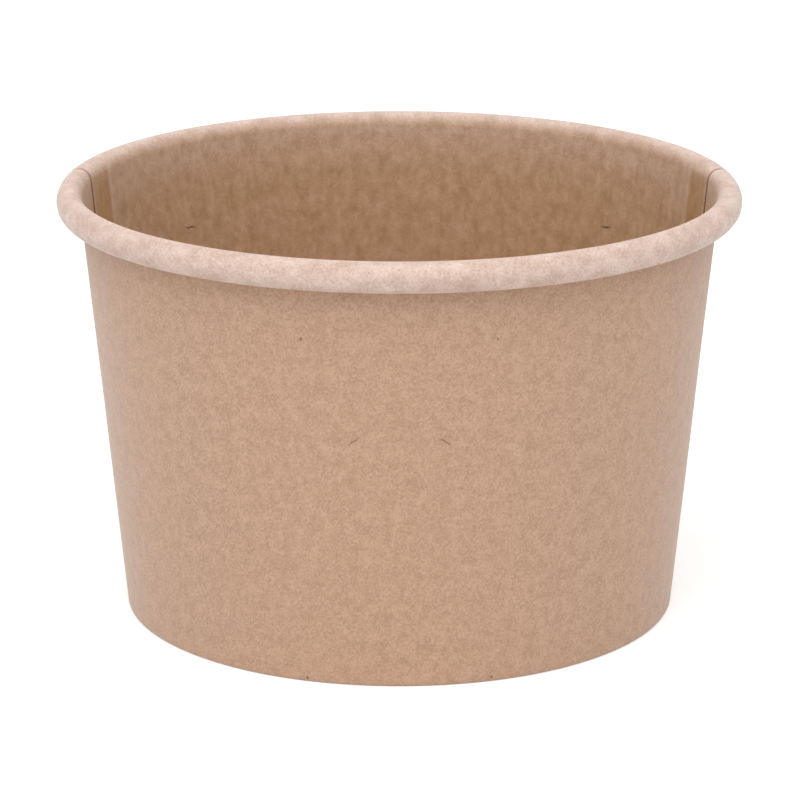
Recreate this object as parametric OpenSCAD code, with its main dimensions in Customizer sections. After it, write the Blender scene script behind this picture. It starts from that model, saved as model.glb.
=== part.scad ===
// Squat paper soup cup: a front and a back wall blank, lapped and sealed at both sides,
// with a rolled rim, a foot hem and a recessed base that the hem grips.
// Sizes are in millimetres and +Z is up. The origin is the centre of the ring that the
// cup stands on, and -Y is the front.

/* [Cup] */
// Height from the table to the top of the rim
cup_h = 72.7; // [60:0.1:90]
// Diameter over the rolled rim
rim_d = 114.4; // [108:0.2:122]
// Diameter of the wall's outer face where it meets the table
foot_d = 93.2; // [84:0.2:98]

/* [Board] */
// Thickness of the wall board
wall_t = 0.5; // [0.35:0.05:0.6]
// Thickness of the base board
base_t = 0.4; // [0.3:0.05:0.5]
// Seal line between two plies that lie on each other
seal = 0.03; // [0.02:0.01:0.05]

/* [Rim] */
// Width of the roll's section
roll_w = 4.3; // [4.1:0.1:6]
// Height of the roll's section
roll_h = 5; // [4.1:0.1:6]
// Angle that the board turns through in the roll
roll_turn = 430; // [380:10:450]

/* [Side laps] */
// Width of each lap, measured along the rim
lap_w = 9.6; // [7:0.2:16]
// Angle of the back blank's cut edges, behind the cup's widest point
lap_angle = 10; // [6:1:25]
// Length along the rim over which the front blank steps out, round the back one
step_w = 1.6; // [1:0.2:3]
// Angle that the covered ply turns through in the roll
lap_turn = 250; // [200:10:270]

/* [Foot and base] */
// Height of the base's upper face over the table
floor_h = 8.5; // [7.5:0.5:12]
// Height of the hem that is turned up inside the foot
hem_h = 6.4; // [4:0.2:6.4]
// Inner radius of the foot's two creases
crease_in = 0.04; // [0.02:0.01:0.12]
// Radius of the bend between the base and its skirt, at the middle of the board
bend_r = 0.9; // [0.5:0.1:1.4]

/* [Hidden] */
arc_step = 10; // largest turn between two points of a bend
step_count = 4; // slices in which the front blank steps out
slice_overlap = 0.05; // degrees by which each slice runs into the one before
skirt_clear = 0.1; // between the skirt's cut edge and the fold below it
tab_clear = 0.3; // between the lap tab's lower edge and the table

// Rolled rim: its section's centre, and the radii of the board's middle line in the
// roll and in the tuck that follows it inside, before the roll is drawn out in height.
roll_c = [rim_d / 2 - roll_w / 2, cup_h - roll_h / 2];
roll_r = roll_w / 2 - wall_t / 2;
tuck_in = 2 * wall_t + 3 * seal;
tuck_r = roll_r - tuck_in;
tuck_c = roll_c - [0, tuck_in];

// Lean of the wall from the vertical: its outer face runs from the foot and meets the
// circle inside the roll's board as a tangent.
foot_r = foot_d / 2;
to_roll = roll_c - [foot_r, 0];
lean = atan(to_roll.x / to_roll.y) - asin((roll_w / 2 - wall_t) / norm(to_roll));

ply = wall_t + seal; // from one ply to the next in a lap
hem_in = wall_t + base_t + 2 * seal; // from the wall's middle to the hem's
crease_r = wall_t / 2 + crease_in; // of the board's middle line
lap_deg = lap_w / roll_c.x * 180 / PI;
step_deg = step_w / roll_c.x * 180 / PI;

// Radius at height z of the line parallel to the wall, out from its outer face.
function wall_r(out, z) = foot_r + (out + z * sin(lean)) / cos(lean);
function wall_at(out, z) = [wall_r(out, z), z];

// Points of a bend from one heading to another. A positive bend radius turns left, and
// a negative one turns right.
function bend(c, r, from, to) =
    let (n = ceil(abs(to - from) / arc_step))
    [for (i = [0:n]) let (h = from + (to - from) * i / n) c + r * [sin(h), -cos(h)]];

// Rolled part of the blank's path, at the given distance out from the board's middle:
// over the roll and, past the roll's bottom, into the tuck.
function roll_path(out, turn) =
    let (up = 90 - lean, end = up - turn)
    let (
        round_path = concat(
            bend(roll_c, out - roll_r, up, max(end, -180)),
            end < -180 ? bend(tuck_c, out - tuck_r, -180, end) : []
        )
    )
    [for (p = round_path) [p.x, roll_c.y + (p.y - roll_c.y) * roll_h / roll_w]];

// Whole path of a blank: down the hem, round the foot's two creases and up the wall.
function blank_path(out) =
    let (z = wall_t / 2 + crease_r, up = 90 - lean)
    concat(
        [wall_at(-wall_t / 2 - hem_in - out, hem_h)],
        bend(wall_at(-wall_t / 2 - hem_in + crease_r, z), crease_r + out, up - 180, 0),
        bend(wall_at(-wall_t / 2 - crease_r, z), crease_r + out, 0, up),
        roll_path(out, roll_turn)
    );

// Path of a lap tab: it has no hem, and starts just over the table.
function tab_path(out) =
    concat([wall_at(out - wall_t / 2, tab_clear)], roll_path(out, lap_turn));

function reversed(points) = [for (i = [len(points) - 1:-1:0]) points[i]];

module blank_section() {
    polygon(concat(blank_path(-wall_t / 2), reversed(blank_path(wall_t / 2))));
}

// Section of a tab that lies the given distance outside its usual place.
module tab_section(shift) {
    polygon(concat(tab_path(shift - wall_t / 2), reversed(tab_path(shift + wall_t / 2))));
}

module sweep(from, to) {
    rotate([0, 0, from]) rotate_extrude(angle = to - from, $fn = 180) children();
}

// Right-hand lap tab of the front blank, which steps out in slices and then lies flat
// on the outside of the back blank.
module lap_tab() {
    step_from = lap_angle - step_deg;
    for (i = [1:step_count - 1]) {
        slice_from = step_from + step_deg * (i - 1) / (step_count - 1);
        slice_to = step_from + step_deg * i / (step_count - 1);
        sweep(slice_from - slice_overlap, slice_to) tab_section(ply * i / step_count);
    }
    sweep(lap_angle - slice_overlap, lap_angle + lap_deg) tab_section(ply);
}

module wall_front() {
    color("tan") {
        sweep(180 - lap_angle + step_deg, 360 + lap_angle - step_deg) blank_section();
        lap_tab();
        mirror([1, 0, 0]) lap_tab();
    }
}

module wall_back() {
    color("burlywood") sweep(lap_angle, 180 - lap_angle) blank_section();
}

// Path of the base: out from the centre, round the bend and down the skirt.
function base_path(out) =
    let (skirt_out = -wall_t - seal - base_t / 2, z = floor_h - base_t / 2)
    concat(
        [[0, z - out]],
        bend(wall_at(skirt_out - bend_r, z - bend_r), out - bend_r, 0, -90 - lean),
        [wall_at(skirt_out - out, wall_t + skirt_clear)]
    );

module base() {
    color("wheat") rotate_extrude($fn = 180)
        polygon(concat(base_path(-base_t / 2), reversed(base_path(base_t / 2))));
}

wall_front();
wall_back();
base();
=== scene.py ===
"""A squat soup cup of unbleached kraft board, on a plain pale floor."""

import math

import bpy
import numpy as np
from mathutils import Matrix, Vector, noise


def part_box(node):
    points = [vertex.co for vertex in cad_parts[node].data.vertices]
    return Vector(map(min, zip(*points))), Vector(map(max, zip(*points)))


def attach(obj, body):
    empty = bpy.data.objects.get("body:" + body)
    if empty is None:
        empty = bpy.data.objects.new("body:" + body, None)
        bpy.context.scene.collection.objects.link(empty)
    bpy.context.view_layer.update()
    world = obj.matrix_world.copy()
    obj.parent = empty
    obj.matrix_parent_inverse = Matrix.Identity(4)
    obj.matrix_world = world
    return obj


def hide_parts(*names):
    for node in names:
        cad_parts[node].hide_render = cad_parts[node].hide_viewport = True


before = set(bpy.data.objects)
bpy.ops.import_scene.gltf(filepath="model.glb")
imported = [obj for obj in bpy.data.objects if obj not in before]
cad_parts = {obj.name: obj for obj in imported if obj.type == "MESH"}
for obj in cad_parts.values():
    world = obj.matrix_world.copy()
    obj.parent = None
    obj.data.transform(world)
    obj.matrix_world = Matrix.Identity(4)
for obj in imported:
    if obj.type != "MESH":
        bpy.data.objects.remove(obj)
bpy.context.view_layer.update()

# Sizes of the cup, in metres. The rim and the height come from the frame.
MM = 0.001
RIM_R, _, CUP_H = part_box("wall_front")[1]
FOOT_R = 46.6 * MM
WALL_T = 0.5 * MM
BASE_T = 0.4 * MM
SEAL = 0.03 * MM
ROLL_W = 4.3 * MM
ROLL_H = 5 * MM
FLOOR_H = 8.5 * MM
HEM_H = 6.4 * MM
CREASE_IN = 0.04 * MM
BEND_R = 0.9 * MM
SKIRT_CLEAR = 0.1 * MM
TAB_CLEAR = 0.3 * MM
ROLL_TURN = math.radians(430)
LAP_TURN = math.radians(250)
LAP_ANGLE = math.radians(10)
LAP_W = 9.6 * MM
STEP_W = 1.6 * MM

# What follows from them
PLY = WALL_T + SEAL
HEM_IN = WALL_T + BASE_T + 2 * SEAL
CREASE_R = WALL_T / 2 + CREASE_IN
CREASE_Z = WALL_T / 2 + CREASE_R
ROLL_C = np.array([RIM_R - ROLL_W / 2, CUP_H - ROLL_H / 2])
ROLL_R = ROLL_W / 2 - WALL_T / 2
TUCK_IN = 2 * WALL_T + 3 * SEAL
TUCK_R = ROLL_R - TUCK_IN
TUCK_C = ROLL_C - np.array([0, TUCK_IN])
TO_ROLL = ROLL_C - np.array([FOOT_R, 0])
LEAN = math.atan2(*TO_ROLL) - math.asin((ROLL_W / 2 - WALL_T) / np.hypot(*TO_ROLL))
UP = math.pi / 2 - LEAN
LAP = LAP_W / ROLL_C[0]
STEP = STEP_W / ROLL_C[0]

# Fineness of the meshes
ROLL_STEP = math.radians(5)
CREASE_ROWS = 7
HEM_ROWS = 8
WALL_ROWS = 70
BEND_ROWS = 12
SKIRT_ROWS = 10
COLUMN_STEP = math.radians(1)
TAB_COLUMNS = 13
STEP_COLUMNS = 12
RIDGE_COLUMNS = 12
BASE_RINGS = 12

# Kinds of face, in the order of a piece's materials
OUTER_FACE, INNER_FACE, CUT_FACE = 0, 1, 2

# Sizes of the board's texture, in millimetres
FIBRE_LAYERS = 4
FIBRE_SIZE = (1.5, 0.30, 1)
GRAIN_SIZE = (0.42, 0.42, 1)
CLOUD_SIZE = (2.6, 2.6, 1)
STREAK_SIZE = (1.8, 4.2, 1)
RIM_PATCH_SIZE = (6.0, 3.0, 1)
RIM_SPECK_SIZE = (0.5, 0.34, 1)
DARK_SPECK_SIZE = (0.8, 0.33, 1)

# Weights of felt, grains and clouds in the board's tone, then of streaks or rim patches
OUTSIDE_WEIGHTS = (4.2, 1.9, 1.4)
INSIDE_WEIGHTS = (2.2, 0.6, 1.7, 1.3)
RIM_WEIGHTS = (2.8, 1.1, 1.4, 1.2)

# Waves of the wall and dents of the roll: depth, length, and where their noise is read
WAVE = 0.06 * MM
WAVE_LENGTH = 26 * MM
WAVE_PLACE = Vector((7.3, 1.9, 4.4))
ROLL_DENT = 0.035 * MM
DENT_LENGTH = 5 * MM
DENT_PLACE = Vector((2.1, 8.7, 3.2))

# Height at which the dents start, and share of the waves that the roll takes away
DENTS_FROM = CUP_H - 1.6 * ROLL_H
ROLL_CALM = 0.5

# Ridge inside the back wall, over the hidden ends of the tabs: height, half-width, how
# far short of the ends it lies, and the half-widths over which the columns are finer
RIDGE = 0.11 * MM
RIDGE_W = 0.9 * MM
RIDGE_BACK = 0.6 * MM
RIDGE_REACH = 3

# Shares of the wall and of the roll over which the ridge rises and fades out
RIDGE_RISE = 0.3
RIDGE_FALL = 0.25

# Seam edge: share of the covered ply's step that shows, and the gap at its foot
SEAM_SHARE = 0.5
SEAM_GAP = 0.04 * MM

# Where the rim's pale look, a painted sheen of the coating, starts: share of the wall, and turn
# of the roll
FADE = 0.13
RISE_TURN = math.radians(70)

# Share of the rim's painted sheen that comes on the wall, share of that sheen that a lap takes
# away, and strength of the painted shade, darker and yellower, inside the front wall before a
# lap
PALE_ON_WALL = 0.30
LAP_HOLDS = 0.6
FRONT_SHADE = 0.6

# Sealed look over a lap: where it starts and over what it comes and goes, in lap widths
LAP_START = 0.08
LAP_FADE_IN = 0.10
LAP_FADE_OUT = 0.125

# Rows from which each look gives way to the roll's, counted down from the roll, and over
# how many rows
LAPPED_ROWS = (2.4, 6)
BEFORE_LAP_ROWS = (5.6, 8)
RIDGED_ROWS = (2.4, 12)

# The painted highlight along the ridge: half-width and strength
RIDGE_STREAK_W = 0.6 * RIDGE_W
RIDGE_HIGHLIGHT = 0.24

# Board colours, in linear light
OUTSIDE = (0.620, 0.392, 0.266)
OUTSIDE_DARK = (0.455, 0.270, 0.168)
INSIDE = (0.545, 0.342, 0.212)
INSIDE_DARK = (0.388, 0.222, 0.106)
# RIM and RIM_DARK are paler than INSIDE by a painted sheen, the coating's reflection of the
# white surroundings
RIM = (0.785, 0.605, 0.524)
RIM_DARK = (0.560, 0.385, 0.300)
# LAP_TINT tints the sealed laps, and paints shade inside the front wall before a lap
LAP_TINT = (0.85, 0.71, 0.38)
CUT = (0.560, 0.385, 0.262)
# CREVICE_SHADE is painted shadow in the seam's gap, partly dark glue
CREVICE_SHADE = (0.140, 0.072, 0.036)
SPECK = (0.150, 0.078, 0.036)
RIM_SPECK = (0.440, 0.275, 0.205)

# Levels of noise between which specks and the grain of a cut edge show
SPECK_RANGE = (0.775, 0.82)
RIM_SPECK_RANGE = (0.62, 0.76)
CUT_GRAIN_RANGE = (0.35, 0.65)

# Strength of the rim's specks, and how fine a cut edge's grain is
RIM_SPECK_SHARE = 0.7
CUT_GRAIN = 3500

# Finish of the outer and the inner face: strength of dark specks, roughness and sheen
OUTSIDE_FINISH = (0.55, 0.7, 0.35)
INSIDE_FINISH = (0.35, 0.55, 0.15)

# Bump of the felt: strength, depth, and the grains' share of it
BUMP_STRENGTH = 0.35
BUMP_DEPTH = 0.12 * MM
GRAIN_BUMP = 0.5

# Finish of a cut edge, the depths in the board between which a seam's edge comes out of the
# painted shade of the gap below it, and how far it does on the rim
CUT_ROUGHNESS = 0.9
CUT_SPECULAR = 0.1
CREVICE_RANGE = (0.55, 0.95)
RIM_OPENS = 0.6

# Fibres and specks that the photo shows: angle in degrees, height, turn in degrees,
# length and width, with lengths in millimetres
OUTSIDE_MARKS = [
    (-98.1, 42.4, 31, 2.4, 0.20),
    (-81.9, 42.4, -31, 2.4, 0.20),
    (-107.1, 59.1, 0, 0.36, 0.55),
    (-73.0, 59.1, 0, 0.36, 0.55),
    (-108.6, 0.8, 0, 0.5, 0.55),
    (-71.5, 0.8, 0, 0.5, 0.55),
]
INSIDE_MARKS = [
    (135.9, 55.8, 5, 2.7, 0.43),
    (44.5, 55.8, -5, 2.7, 0.43),
]

# Half-sizes at which a mark is gone and is full, its weakest strength, its mottling, and
# how often and how far it wanders, in millimetres
MARK_EDGE = (1.3, 0.5)
MARK_STRENGTH = 0.35
MARK_MOTTLE = 1.7
WANDER_SCALE = 0.7
WANDER = 0.7
ANY_DEPTH = 1000

# Light levels, and the key's place
WORLD_LIGHT = 0.765
KEY_POWER = 5.9
KEY_PLACE = (-0.10, -0.55, 0.95)
KEY_AIM = (0, 0, 0.04)
KEY_SIZE = (0.9, 0.9)
FLOOR_LIFT = 0.45
FLOOR_SHADE = 0.75
FLOOR_REACH = 6.0

# Camera, fitted to the outlines of the rim, wall and foot in the photo's 800-pixel frame
PHOTO_PX = 800
FOCAL_PX = 3802
SENSOR_MM = 36
CAMERA_DISTANCE = 646.6 * MM
CAMERA_TILT = math.radians(16.42)
AIM = Vector((0.1, 0, 34.4)) * MM
CLIP_START = 10 * MM


def bend(centre, radius, start, end, count):
    """Points of a bend from one heading to another, as rows of radius and height."""
    heading = np.linspace(start, end, count + 1)
    return centre + radius * np.stack([np.sin(heading), -np.cos(heading)], axis=1)


def wall_at(out, z):
    """Point at height z on the line parallel to the wall, out from its outer face."""
    return np.array([FOOT_R + (out + z * math.sin(LEAN)) / math.cos(LEAN), z])


def line(start, end, count):
    """Points from start to end, without the last one."""
    share = np.linspace(0, 1, count, endpoint=False)[:, None]
    return start + (end - start) * share


class Blank:
    """Rows of a side blank: where each stretch of its path starts."""
    wall = HEM_ROWS + 2 * CREASE_ROWS + 1
    roll = wall + WALL_ROWS
    roll_rows = round((UP + math.pi) / ROLL_STEP)
    tuck_rows = round((ROLL_TURN - UP - math.pi) / (2 * ROLL_STEP))
    tab_end = roll + round(LAP_TURN / ROLL_STEP)
    end = roll + roll_rows + 1 + tuck_rows


def blank_section(out, shift, tab):
    """Path of a blank at a distance out from its middle, moved out by a ply's shift."""
    hem_top = wall_at(-WALL_T / 2 - HEM_IN - out, HEM_H)
    inner = wall_at(-WALL_T / 2 - HEM_IN + CREASE_R, CREASE_Z)
    outer = wall_at(-WALL_T / 2 - CREASE_R, CREASE_Z)
    creases = np.concatenate([
        bend(inner, CREASE_R + out, UP - math.pi, 0, CREASE_ROWS),
        bend(outer, CREASE_R + out, 0, UP, CREASE_ROWS),
    ])
    moved = shift + out
    foot = wall_at(moved - WALL_T / 2, TAB_CLEAR) if tab else creases[-1]
    roll = bend(ROLL_C, moved - ROLL_R, UP, -math.pi, Blank.roll_rows)
    tuck = bend(TUCK_C, moved - TUCK_R, -math.pi, UP - ROLL_TURN, Blank.tuck_rows)[1:]
    rolled = np.concatenate([roll, tuck])
    rolled[:, 1] = ROLL_C[1] + (rolled[:, 1] - ROLL_C[1]) * ROLL_H / ROLL_W
    return np.concatenate([
        line(hem_top, creases[0], HEM_ROWS),
        creases[:-1],
        line(foot, rolled[0], WALL_ROWS),
        rolled,
    ])


def smooth(value):
    """Smooth rise from 0 to 1."""
    value = np.clip(value, 0, 1)
    return value * value * (3 - 2 * value)


def unevenness(angle, radius, z):
    """How far the board stands out of its true round at a place on the cup."""
    place = Vector((radius * math.cos(angle), radius * math.sin(angle), z))
    wave = WAVE * noise.noise(place / WAVE_LENGTH + WAVE_PLACE)
    roll_share = smooth((z - DENTS_FROM) / ROLL_H)
    dent = ROLL_DENT * noise.noise(place / DENT_LENGTH + DENT_PLACE)
    return wave * (1 - ROLL_CALM * roll_share) + dent * roll_share


def back_side(angle):
    """How far a place on the back blank lies behind the cup's nearer side."""
    return min(angle, math.pi - angle)


def front_side(angle):
    """How far a place on the front blank lies behind the cup's nearer side."""
    return max(angle, -math.pi - angle)


def from_ridge(angle):
    """Distance of a place on the back blank from the ridge's middle."""
    return (back_side(angle) - LAP_ANGLE - LAP) * ROLL_C[0] + RIDGE_BACK


def ridge(angle):
    """Low ridge inside the back wall over the hidden ends of the front blank's tabs."""
    across = from_ridge(angle) / RIDGE_W
    return RIDGE * math.exp(-across * across)


def sheet_mesh(name, angles, sections, present, inward, shares):
    """Closed mesh of a sheet: one column per angle, with both faces and all cut edges.

    sections holds, for each column, the rows of its outer and inner face. present says
    for each cell between rows and columns whether the sheet is there. inward says how far
    a place is pushed in. shares holds the looks that the materials mix by, each a function
    of angle and row.
    """
    columns = len(angles)
    rows = sections[0][0].shape[0]
    points = np.zeros((2, columns, rows, 3))
    along = np.zeros((2, columns, rows))
    for c, angle in enumerate(angles):
        for face in (0, 1):
            path = sections[c][face]
            steps = np.hypot(*np.diff(path, axis=0).T)
            along[face, c, 1:] = np.cumsum(steps)
            for r, (radius, z) in enumerate(path):
                radius = radius + unevenness(angle, radius, z) - inward(angle, r, face)
                points[face, c, r] = (radius * math.cos(angle), radius * math.sin(angle), z)

    used = np.zeros((columns, rows), bool)
    for dc in (0, 1):
        for dr in (0, 1):
            used[dc:columns - 1 + dc, dr:rows - 1 + dr] |= present
    index = -np.ones((2, columns, rows), int)
    index[0][used] = np.arange(used.sum())
    index[1][used] = np.arange(used.sum()) + used.sum()

    faces, kinds = [], []

    def quad(a, b, c, d, kind):
        faces.append((a, b, c, d))
        kinds.append(kind)

    def there(c, r):
        return 0 <= c < columns - 1 and 0 <= r < rows - 1 and present[c, r]

    for c in range(columns - 1):
        for r in range(rows - 1):
            if not present[c, r]:
                continue
            corner = [(c, r), (c + 1, r), (c + 1, r + 1), (c, r + 1)]
            quad(*[index[0][k] for k in corner], OUTER_FACE)
            quad(*[index[1][k] for k in reversed(corner)], INNER_FACE)
            beside = [(c, r - 1), (c + 1, r), (c, r + 1), (c - 1, r)]
            for k, cell in enumerate(beside):
                if not there(*cell):
                    start, end = corner[k], corner[(k + 1) % 4]
                    quad(index[0][end], index[0][start], index[1][start], index[1][end],
                         CUT_FACE)

    around = np.repeat(np.array(angles)[:, None], rows, axis=1) * ROLL_C[0]
    sheet = np.stack([
        np.concatenate([around[used], around[used]]) / MM,
        np.concatenate([along[0][used], along[1][used]]) / MM,
        np.repeat([0.0, 1.0], used.sum()),
    ], axis=1)
    fields = {}
    for key, share in shares.items():
        field = np.array([[share(angle, row) for row in range(rows)] for angle in angles])
        fields[key] = np.concatenate([field[used], field[used]])
    vertices = np.concatenate([points[0][used], points[1][used]])
    return board_piece(name, vertices, faces, kinds, sheet, fields)


def board_piece(name, vertices, faces, kinds, sheet, fields):
    """Object from a sheet's faces, their kinds, and the fields of its points."""
    mesh = bpy.data.meshes.new(name)
    mesh.from_pydata(vertices.tolist(), [], faces)
    attribute = mesh.attributes.new("sheet", "FLOAT_VECTOR", "POINT")
    attribute.data.foreach_set("vector", sheet.ravel())
    for key, values in fields.items():
        attribute = mesh.attributes.new(key, "FLOAT", "POINT")
        attribute.data.foreach_set("value", values)
    mesh.polygons.foreach_set("use_smooth", [kind != CUT_FACE for kind in kinds])
    mesh.polygons.foreach_set("material_index", kinds)
    mark_cut_edges(mesh, kinds)
    mesh.validate()
    mesh.update()
    piece = bpy.data.objects.new(name, mesh)
    bpy.context.scene.collection.objects.link(piece)
    return piece


def mark_cut_edges(mesh, kinds):
    """Mark as sharp the edges where a cut edge's faces meet a face of the sheet."""
    edge_kinds = [set() for _ in mesh.edges]
    for polygon in mesh.polygons:
        for loop in polygon.loop_indices:
            is_cut = kinds[polygon.index] == CUT_FACE
            edge_kinds[mesh.loops[loop].edge_index].add(is_cut)
    sharp = mesh.attributes.new("sharp_edge", "BOOLEAN", "EDGE")
    sharp.data.foreach_set("value", [len(found) == 2 for found in edge_kinds])


def rolled(_, row):
    """Share of the rim's pale look, a painted sheen of the coating: none on the wall, full on
    the roll.
    """
    on_wall = smooth((row - Blank.roll) / (FADE * WALL_ROWS) + 1)
    on_roll = smooth((row - Blank.roll) * ROLL_STEP / RISE_TURN)
    return PALE_ON_WALL * float(on_wall) + (1 - PALE_ON_WALL) * float(on_roll)


def under_roll(row, below, rows):
    """1 on the wall, falling to 0 over some rows that start below the roll."""
    return 1 - float(smooth((row - Blank.roll + below) / rows))


def lapped(angle, row):
    """Share of the sealed look over a lap, inside the back wall."""
    across = ((back_side(angle) - LAP_ANGLE) * ROLL_C[0] + RIDGE_BACK) / LAP_W
    come = smooth((across - LAP_START) / LAP_FADE_IN)
    go = smooth((1 - across) / LAP_FADE_OUT)
    return float(come * go) * under_roll(row, *LAPPED_ROWS)


def shade_before_lap(angle, row):
    """Share of the painted shade, darker and yellower, in front of a lap, inside the front
    wall.
    """
    across = 1 + (front_side(angle) - LAP_ANGLE) / LAP
    return FRONT_SHADE * float(smooth(across)) * under_roll(row, *BEFORE_LAP_ROWS)


def ridged(angle, row):
    """Share of the painted highlight along the ridge, inside the back wall."""
    across = from_ridge(angle) / RIDGE_STREAK_W
    return math.exp(-across * across) * under_roll(row, *RIDGED_ROWS)


def front_wall():
    """Front blank: its tabs step out round the back blank at both sides."""
    right_end = LAP_ANGLE + LAP
    step_start = LAP_ANGLE - STEP
    gap_angle = SEAM_GAP / ROLL_C[0]
    tab = np.linspace(right_end, LAP_ANGLE, TAB_COLUMNS + 1)
    step = np.linspace(LAP_ANGLE - gap_angle, step_start, STEP_COLUMNS + 1)
    middle_count = round((math.pi + 2 * step_start) / COLUMN_STEP)
    middle = np.linspace(step_start, -math.pi - step_start, middle_count + 1)[1:]
    right = np.concatenate([tab, step])
    left = (-math.pi - right)[::-1][1:]
    angles = np.concatenate([right, middle, left])[::-1]

    def shift_at(angle):
        side = front_side(angle)
        if side > LAP_ANGLE - gap_angle / 2:
            return PLY
        return PLY * SEAM_SHARE * float(smooth((side - step_start) / STEP))

    shifts = [shift_at(angle) for angle in angles]
    is_tab = [shift > 0 for shift in shifts]
    sections = [
        (blank_section(WALL_T / 2, shift, tab), blank_section(-WALL_T / 2, shift, tab))
        for shift, tab in zip(shifts, is_tab)
    ]
    present = np.ones((len(angles) - 1, Blank.end - 1), bool)
    for c in range(len(angles) - 1):
        if is_tab[c] or is_tab[c + 1]:
            present[c, :Blank.wall] = False
            present[c, Blank.tab_end:] = False
    # On the front blank the lapped field holds painted shade before a lap
    return sheet_mesh("front_wall_board", angles, sections, present, lambda *_: 0,
                      {"rolled": rolled, "lapped": shade_before_lap})


def back_wall():
    """Back blank, with its cut edges inside the cup at both sides."""
    count = round((math.pi - 2 * LAP_ANGLE) / COLUMN_STEP)
    reach = np.linspace(-RIDGE_REACH, RIDGE_REACH, RIDGE_COLUMNS + 1)
    near_ridge = reach * RIDGE_W / ROLL_C[0] + LAP_ANGLE + LAP
    angles = np.unique(np.concatenate([
        np.linspace(LAP_ANGLE, math.pi - LAP_ANGLE, count + 1),
        near_ridge,
        math.pi - near_ridge,
    ]).round(6))
    section = (blank_section(WALL_T / 2, 0, False), blank_section(-WALL_T / 2, 0, False))
    present = np.ones((len(angles) - 1, Blank.end - 1), bool)

    def inward(angle, row, face):
        rise = smooth((row - Blank.wall) / (RIDGE_RISE * WALL_ROWS))
        fall = 1 - smooth((row - Blank.roll) / (RIDGE_FALL * Blank.roll_rows))
        return ridge(angle) * rise * fall if face == INNER_FACE else 0

    return sheet_mesh("back_wall_board", angles, [section] * len(angles), present, inward,
                      {"rolled": rolled, "lapped": lapped, "ridged": ridged})


def base_section(out):
    """Path of the base from its centre, round the bend and down the skirt."""
    skirt_out = -WALL_T - SEAL - BASE_T / 2
    z = FLOOR_H - BASE_T / 2
    corner = bend(wall_at(skirt_out - BEND_R, z - BEND_R), out - BEND_R, 0,
                  -math.pi / 2 - LEAN, BEND_ROWS)
    foot = wall_at(skirt_out - out, WALL_T + SKIRT_CLEAR)
    flat = line(np.array([0, z - out]), corner[0], BASE_RINGS)
    skirt = line(corner[-1], foot, SKIRT_ROWS)
    return np.concatenate([flat, corner[:-1], skirt, [foot]])


def base():
    """Base: a round sheet with its edge turned down, from its underside to its top."""
    count = round(2 * math.pi / COLUMN_STEP)
    angles = np.linspace(0, 2 * math.pi, count, endpoint=False)
    spokes = np.stack([np.cos(angles), np.sin(angles)], axis=1)
    rings = len(base_section(0)) - 1
    vertices, sheet = [], []
    for face, path in enumerate((base_section(BASE_T / 2), base_section(-BASE_T / 2))):
        reach = np.concatenate([[0], np.cumsum(np.hypot(*np.diff(path, axis=0).T))])
        vertices.append([[0, 0, path[0][1]]])
        sheet.append([[0, 0, face]])
        for (radius, z), far in zip(path[1:], reach[1:]):
            vertices.append(np.column_stack([radius * spokes, np.full(count, z)]))
            sheet.append(np.column_stack([far / MM * spokes, np.full(count, face)]))

    def at(face, ring, c):
        return face * (1 + rings * count) + 1 + ring * count + c % count

    faces, kinds = [], []
    for c in range(count):
        under, upper = at(0, 0, 0) - 1, at(1, 0, 0) - 1
        faces.append((under, at(0, 0, c + 1), at(0, 0, c)))
        faces.append((upper, at(1, 0, c), at(1, 0, c + 1)))
        kinds += [OUTER_FACE, INNER_FACE]
        for r in range(rings - 1):
            corner = [(r, c), (r, c + 1), (r + 1, c + 1), (r + 1, c)]
            faces.append(tuple(at(0, *k) for k in corner))
            faces.append(tuple(at(1, *k) for k in reversed(corner)))
            kinds += [OUTER_FACE, INNER_FACE]
        last = rings - 1
        faces.append((at(0, last, c), at(0, last, c + 1), at(1, last, c + 1), at(1, last, c)))
        kinds.append(CUT_FACE)
    return board_piece("base_board", np.concatenate(vertices), faces, kinds,
                       np.concatenate(sheet), {})


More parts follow.
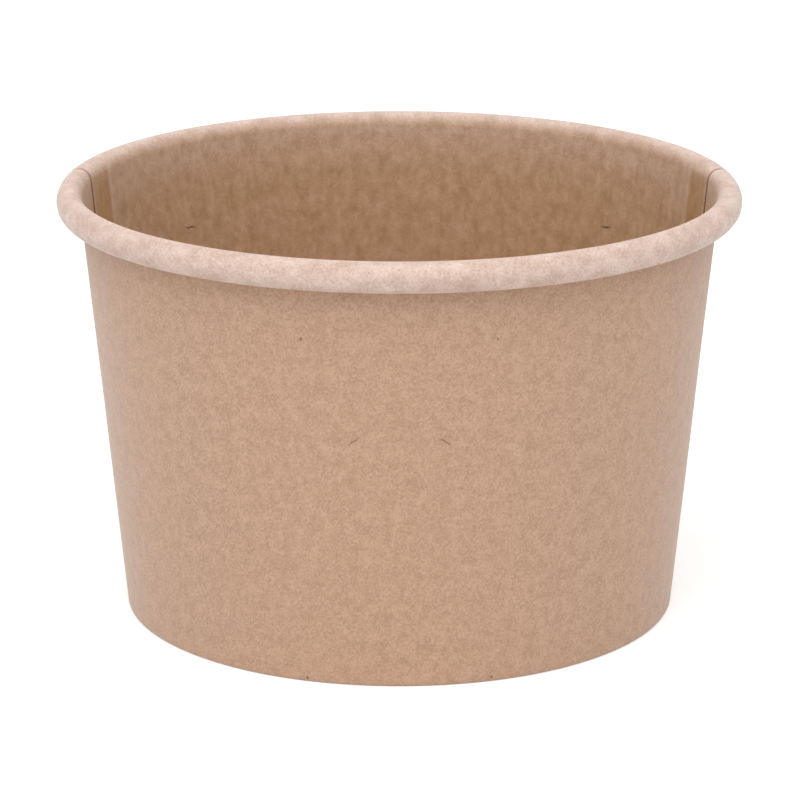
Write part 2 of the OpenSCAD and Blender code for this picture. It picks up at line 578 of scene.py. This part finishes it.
class Nodes:
    """Short calls for building a material's nodes."""

    def __init__(self, name):
        self.material = bpy.data.materials.new(name)
        self.material.use_nodes = True
        self.tree = self.material.node_tree
        self.shader = self.tree.nodes["Principled BSDF"]

    def add(self, kind, inputs=None, **settings):
        node = self.tree.nodes.new(kind)
        for key, value in settings.items():
            setattr(node, key, value)
        for key, value in (inputs or {}).items():
            self.put(node.inputs[key], value)
        return node

    def put(self, socket, value):
        if isinstance(value, bpy.types.NodeSocket):
            self.tree.links.new(value, socket)
        else:
            socket.default_value = value

    def math(self, operation, a, b=0.0, clamp=False):
        node = self.add("ShaderNodeMath", operation=operation, use_clamp=clamp)
        self.put(node.inputs[0], a)
        self.put(node.inputs[1], b)
        return node.outputs[0]

    def mix(self, factor, a, b):
        node = self.add("ShaderNodeMix", data_type="RGBA")
        self.put(node.inputs["Factor"], factor)
        self.put(node.inputs["A"], (*a, 1) if isinstance(a, tuple) else a)
        self.put(node.inputs["B"], (*b, 1) if isinstance(b, tuple) else b)
        return node.outputs["Result"]

    def ramp(self, value, low, high):
        """0 below low, 1 above high, smooth between."""
        node = self.add("ShaderNodeMapRange", interpolation_type="SMOOTHSTEP",
                        inputs={"Value": value, "From Min": low, "From Max": high})
        return node.outputs["Result"]

    def noise(self, vector, scale, detail, rough=0.5):
        node = self.add("ShaderNodeTexNoise", inputs={
            "Vector": vector, "Scale": scale, "Detail": detail, "Roughness": rough})
        return node.outputs["Fac"]

    def sized(self, vector, size, turn=0.0, place=(0, 0, 0)):
        """Coordinates about a place, turned, in units of the given size."""
        node = self.add("ShaderNodeMapping", vector_type="TEXTURE", inputs={
            "Vector": vector, "Location": place, "Rotation": (0, 0, turn), "Scale": size})
        return node.outputs["Vector"]

    def tone(self, textures, weights):
        """Sum of textures about a middle of 0.5, each with its weight."""
        total = 0.5
        for value, weight in zip(textures, weights):
            about = self.math("SUBTRACT", value, 0.5)
            total = self.math("ADD", self.math("MULTIPLY", about, weight), total)
        return self.math("ADD", total, 0.0, clamp=True)

    def wavy(self, vector):
        """Coordinates that wander a little, so that a fibre isn't dead straight."""
        noise_node = self.add("ShaderNodeTexNoise", inputs={
            "Vector": vector, "Scale": WANDER_SCALE, "Detail": 1.0})
        about = self.add("ShaderNodeVectorMath", operation="SUBTRACT")
        self.put(about.inputs[0], noise_node.outputs["Color"])
        self.put(about.inputs[1], (0.5, 0.5, 0.5))
        wander = self.add("ShaderNodeVectorMath", operation="SCALE", inputs={"Scale": WANDER})
        self.put(wander.inputs[0], about.outputs["Vector"])
        moved = self.add("ShaderNodeVectorMath", operation="ADD")
        self.put(moved.inputs[0], vector)
        self.put(moved.inputs[1], wander.outputs["Vector"])
        return moved.outputs["Vector"]

    def field(self, name):
        return self.add("ShaderNodeAttribute", attribute_name=name).outputs["Fac"]


def fibres(nodes, sheet, seed):
    """Felt of pale and dark fibres that lie in all directions, about a middle of 0.5."""
    strands = []
    for shift in (0, 50):
        top = 0.0
        for k in range(FIBRE_LAYERS):
            turn = math.pi * (k + 0.37 + shift / 100) / FIBRE_LAYERS
            place = (seed + shift + 11.3 * k, 3.7 * k, 0)
            layer = nodes.noise(nodes.sized(sheet, FIBRE_SIZE, turn, place), 1.0, 1.0)
            top = nodes.math("MAXIMUM", top, layer)
        strands.append(top)
    about = nodes.math("SUBTRACT", *strands)
    return nodes.math("ADD", nodes.math("MULTIPLY", about, 0.5), 0.5)


def mark(nodes, sheet, out, angle, height, turn, length, width):
    """Strength of one dark fibre or speck, placed by its angle and height on a face."""
    foot = blank_section(out, 0, False)[:Blank.wall + 1]
    foot_along = np.hypot(*np.diff(foot, axis=0).T).sum() / MM
    up_wall = (height - foot[-1][1] / MM) / math.cos(LEAN)
    place = (math.radians(angle) * ROLL_C[0] / MM, foot_along + up_wall, 0)
    size = (length / 2, width / 2, ANY_DEPTH)
    about = nodes.sized(nodes.wavy(sheet), size, math.radians(turn), place)
    mottle = nodes.noise(sheet, MARK_MOTTLE, 1.0)
    reach = nodes.add("ShaderNodeVectorMath", operation="LENGTH", inputs={"Vector": about})
    return nodes.math("MULTIPLY", nodes.ramp(reach.outputs["Value"], *MARK_EDGE),
                      nodes.math("ADD", mottle, MARK_STRENGTH))


def lap_and_rim(nodes, sheet, seed, textures, colour):
    """Inner face's colour: sealed laps, painted shade before a lap, the rim's painted sheen and
    a painted highlight along the ridge.
    """
    rim_share, lap_share = nodes.field("rolled"), nodes.field("lapped")
    # Lap tint: sealed laps on the back blank, painted shade before a lap on the front blank
    sealed = nodes.add("ShaderNodeMix", data_type="RGBA", blend_type="MULTIPLY")
    nodes.put(sealed.inputs["Factor"], lap_share)
    nodes.put(sealed.inputs["A"], colour)
    nodes.put(sealed.inputs["B"], (*LAP_TINT, 1))
    spots = nodes.noise(nodes.sized(sheet, RIM_SPECK_SIZE, 0.4, (3, seed, 0)), 1.0, 1.0)
    patches = nodes.noise(nodes.sized(sheet, RIM_PATCH_SIZE, 0, (5, seed, 0)), 1.0, 1.0)
    # The rim's pale colour is painted sheen, over patches and specks of the board
    pale = nodes.mix(nodes.tone([*textures, patches], RIM_WEIGHTS), RIM_DARK, RIM)
    speckled = nodes.math("MULTIPLY", nodes.ramp(spots, *RIM_SPECK_RANGE), RIM_SPECK_SHARE)
    pale = nodes.mix(speckled, pale, RIM_SPECK)
    # Painted highlight along the ridge
    ridge_share = nodes.math("MULTIPLY", nodes.field("ridged"), RIDGE_HIGHLIGHT)
    unsealed = nodes.math("SUBTRACT", 1.0, nodes.math("MULTIPLY", lap_share, LAP_HOLDS))
    share = nodes.math("ADD", nodes.math("MULTIPLY", rim_share, unsealed), ridge_share)
    return nodes.mix(share, sealed.outputs["Result"], pale)


def kraft(name, seed, light, dark, inside, marks):
    """Unbleached kraft board: felted fibres, cloudy mottling and a few dark specks."""
    nodes = Nodes(name)
    out = -WALL_T / 2 if inside else WALL_T / 2
    speck_share, roughness, sheen = INSIDE_FINISH if inside else OUTSIDE_FINISH
    sheet = nodes.add("ShaderNodeAttribute", attribute_name="sheet").outputs["Vector"]
    felt = fibres(nodes, sheet, seed)
    grains = nodes.noise(nodes.sized(sheet, GRAIN_SIZE, 0.6, (0, seed, 0)), 1.0, 2.0, 0.6)
    clouds = nodes.noise(nodes.sized(sheet, CLOUD_SIZE, 0, (seed, 0, 0)), 1.0, 3.0, 0.6)
    textures = [felt, grains, clouds]
    if inside:
        streaks = nodes.noise(nodes.sized(sheet, STREAK_SIZE, 0, (seed, 9, 0)), 1.0, 2.0)
        colour = nodes.mix(nodes.tone([*textures, streaks], INSIDE_WEIGHTS), dark, light)
        colour = lap_and_rim(nodes, sheet, seed, textures, colour)
    else:
        colour = nodes.mix(nodes.tone(textures, OUTSIDE_WEIGHTS), dark, light)

    speck_place = nodes.sized(sheet, DARK_SPECK_SIZE, 0.5, (0, 2 * seed, 0))
    speck = nodes.ramp(nodes.noise(speck_place, 0.55, 1.0), *SPECK_RANGE)
    darkest = nodes.math("MULTIPLY", speck, speck_share)
    for values in marks:
        darkest = nodes.math("MAXIMUM", darkest, mark(nodes, sheet, out, *values))
    colour = nodes.mix(darkest, colour, SPECK)
    nodes.put(nodes.shader.inputs["Base Color"], colour)
    bump_height = nodes.math("ADD", felt, nodes.math("MULTIPLY", grains, GRAIN_BUMP))
    bump = nodes.add("ShaderNodeBump", inputs={
        "Height": bump_height, "Strength": BUMP_STRENGTH, "Distance": BUMP_DEPTH})
    nodes.put(nodes.shader.inputs["Normal"], bump.outputs["Normal"])
    nodes.shader.inputs["Roughness"].default_value = roughness
    nodes.shader.inputs["Specular IOR Level"].default_value = 0.5
    nodes.shader.inputs["Sheen Weight"].default_value = sheen
    nodes.shader.inputs["Sheen Roughness"].default_value = 0.5
    return nodes.material


def cut_board(name, seam):
    """Cut edge of the board. At a seam it carries painted crevice shadow, partly dark glue,
    next to the ply below, less so on the rim.
    """
    nodes = Nodes(name)
    place = nodes.add("ShaderNodeTexCoord").outputs["Object"]
    grain = nodes.noise(place, CUT_GRAIN, 3.0, 0.6)
    colour = nodes.mix(nodes.ramp(grain, *CUT_GRAIN_RANGE), OUTSIDE_DARK, CUT)
    if seam:
        sheet = nodes.add("ShaderNodeAttribute", attribute_name="sheet").outputs["Vector"]
        depth = nodes.add("ShaderNodeSeparateXYZ", inputs={"Vector": sheet}).outputs["Z"]
        rim_share = nodes.field("rolled")
        # On the rim the seam's edge takes the rim's painted sheen
        colour = nodes.mix(rim_share, colour, RIM)
        # Painted crevice shadow, partly dark glue, next to the ply below, lifting on the rim
        open_edge = nodes.math("ADD", nodes.ramp(depth, *CREVICE_RANGE),
                               nodes.math("MULTIPLY", rim_share, RIM_OPENS), clamp=True)
        colour = nodes.mix(open_edge, CREVICE_SHADE, colour)
    nodes.put(nodes.shader.inputs["Base Color"], colour)
    nodes.shader.inputs["Roughness"].default_value = CUT_ROUGHNESS
    nodes.shader.inputs["Specular IOR Level"].default_value = CUT_SPECULAR
    return nodes.material


def dress(piece, materials, node):
    """Give a piece its materials and its body, and hide the CAD node that it replaces."""
    for material in materials:
        piece.data.materials.append(material)
    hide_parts(node)
    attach(piece, "root")


def light_area(name, place, aim, size, power):
    """Soft box that faces its aim."""
    data = bpy.data.lights.new(name, "AREA")
    data.shape = "RECTANGLE"
    data.size, data.size_y = size
    data.energy = power
    lamp = bpy.data.objects.new(name, data)
    lamp.location = place
    lamp.rotation_euler = (Vector(aim) - Vector(place)).to_track_quat("-Z", "Y").to_euler()
    bpy.context.scene.collection.objects.link(lamp)


def studio():
    """Even white surroundings, a soft key from above and a pale floor."""
    world = bpy.data.worlds.new("studio")
    bpy.context.scene.world = world
    world.use_nodes = True
    tree = world.node_tree
    background = tree.nodes["Background"]
    background.inputs["Color"].default_value = (1, 1, 1, 1)
    path = tree.nodes.new("ShaderNodeLightPath")
    seen = tree.nodes.new("ShaderNodeMath")
    seen.operation = "MAXIMUM"
    tree.links.new(path.outputs["Is Camera Ray"], seen.inputs[0])
    tree.links.new(path.outputs["Is Glossy Ray"], seen.inputs[1])
    strength = tree.nodes.new("ShaderNodeMapRange")
    strength.inputs["To Min"].default_value = WORLD_LIGHT
    strength.inputs["To Max"].default_value = 1.0
    tree.links.new(seen.outputs[0], strength.inputs["Value"])
    tree.links.new(strength.outputs["Result"], background.inputs["Strength"])

    light_area("key", KEY_PLACE, KEY_AIM, KEY_SIZE, KEY_POWER)
    floor_piece()


def floor_piece():
    """Wide pale floor that shows white where the cup's shadow doesn't reach."""
    mesh = bpy.data.meshes.new("floor")
    corners = [(x * FLOOR_REACH, y * FLOOR_REACH, 0)
               for x, y in ((-1, -1), (1, -1), (1, 1), (-1, 1))]
    mesh.from_pydata(corners, [], [(0, 1, 2, 3)])
    ground = bpy.data.objects.new("floor", mesh)
    bpy.context.scene.collection.objects.link(ground)
    nodes = Nodes("floor")
    nodes.shader.inputs["Base Color"].default_value = (*[FLOOR_SHADE] * 3, 1)
    nodes.shader.inputs["Roughness"].default_value = 1.0
    nodes.shader.inputs["Specular IOR Level"].default_value = 0.0
    nodes.shader.inputs["Emission Color"].default_value = (1, 1, 1, 1)
    path = nodes.add("ShaderNodeLightPath")
    seen = nodes.math("MAXIMUM", path.outputs["Is Camera Ray"], path.outputs["Is Glossy Ray"])
    nodes.put(nodes.shader.inputs["Emission Strength"],
              nodes.math("MULTIPLY", seen, FLOOR_LIFT))
    mesh.materials.append(nodes.material)


def camera():
    """Camera at the photo's distance, height and field of view."""
    data = bpy.data.cameras.new("camera")
    data.sensor_fit = "HORIZONTAL"
    data.sensor_width = SENSOR_MM
    data.lens = FOCAL_PX / PHOTO_PX * SENSOR_MM
    data.clip_start = CLIP_START
    view = bpy.data.objects.new("camera", data)
    away = Vector((0, -math.cos(CAMERA_TILT), math.sin(CAMERA_TILT)))
    view.location = AIM + away * CAMERA_DISTANCE
    view.rotation_euler = (-away).to_track_quat("-Z", "Y").to_euler()
    bpy.context.scene.collection.objects.link(view)
    bpy.context.scene.camera = view


camera()
studio()
outer = kraft("kraft_outside", 3.0, OUTSIDE, OUTSIDE_DARK, False, OUTSIDE_MARKS)
inner = kraft("kraft_inside", 29.0, INSIDE, INSIDE_DARK, True, INSIDE_MARKS)
edge = cut_board("kraft_cut_edge", False)
seam_edge = cut_board("kraft_seam_edge", True)
dress(front_wall(), [outer, inner, edge], "wall_front")
dress(back_wall(), [outer, inner, seam_edge], "wall_back")
dress(base(), [outer, inner, edge], "base")

bpy.context.scene.view_settings.view_transform = "Standard"
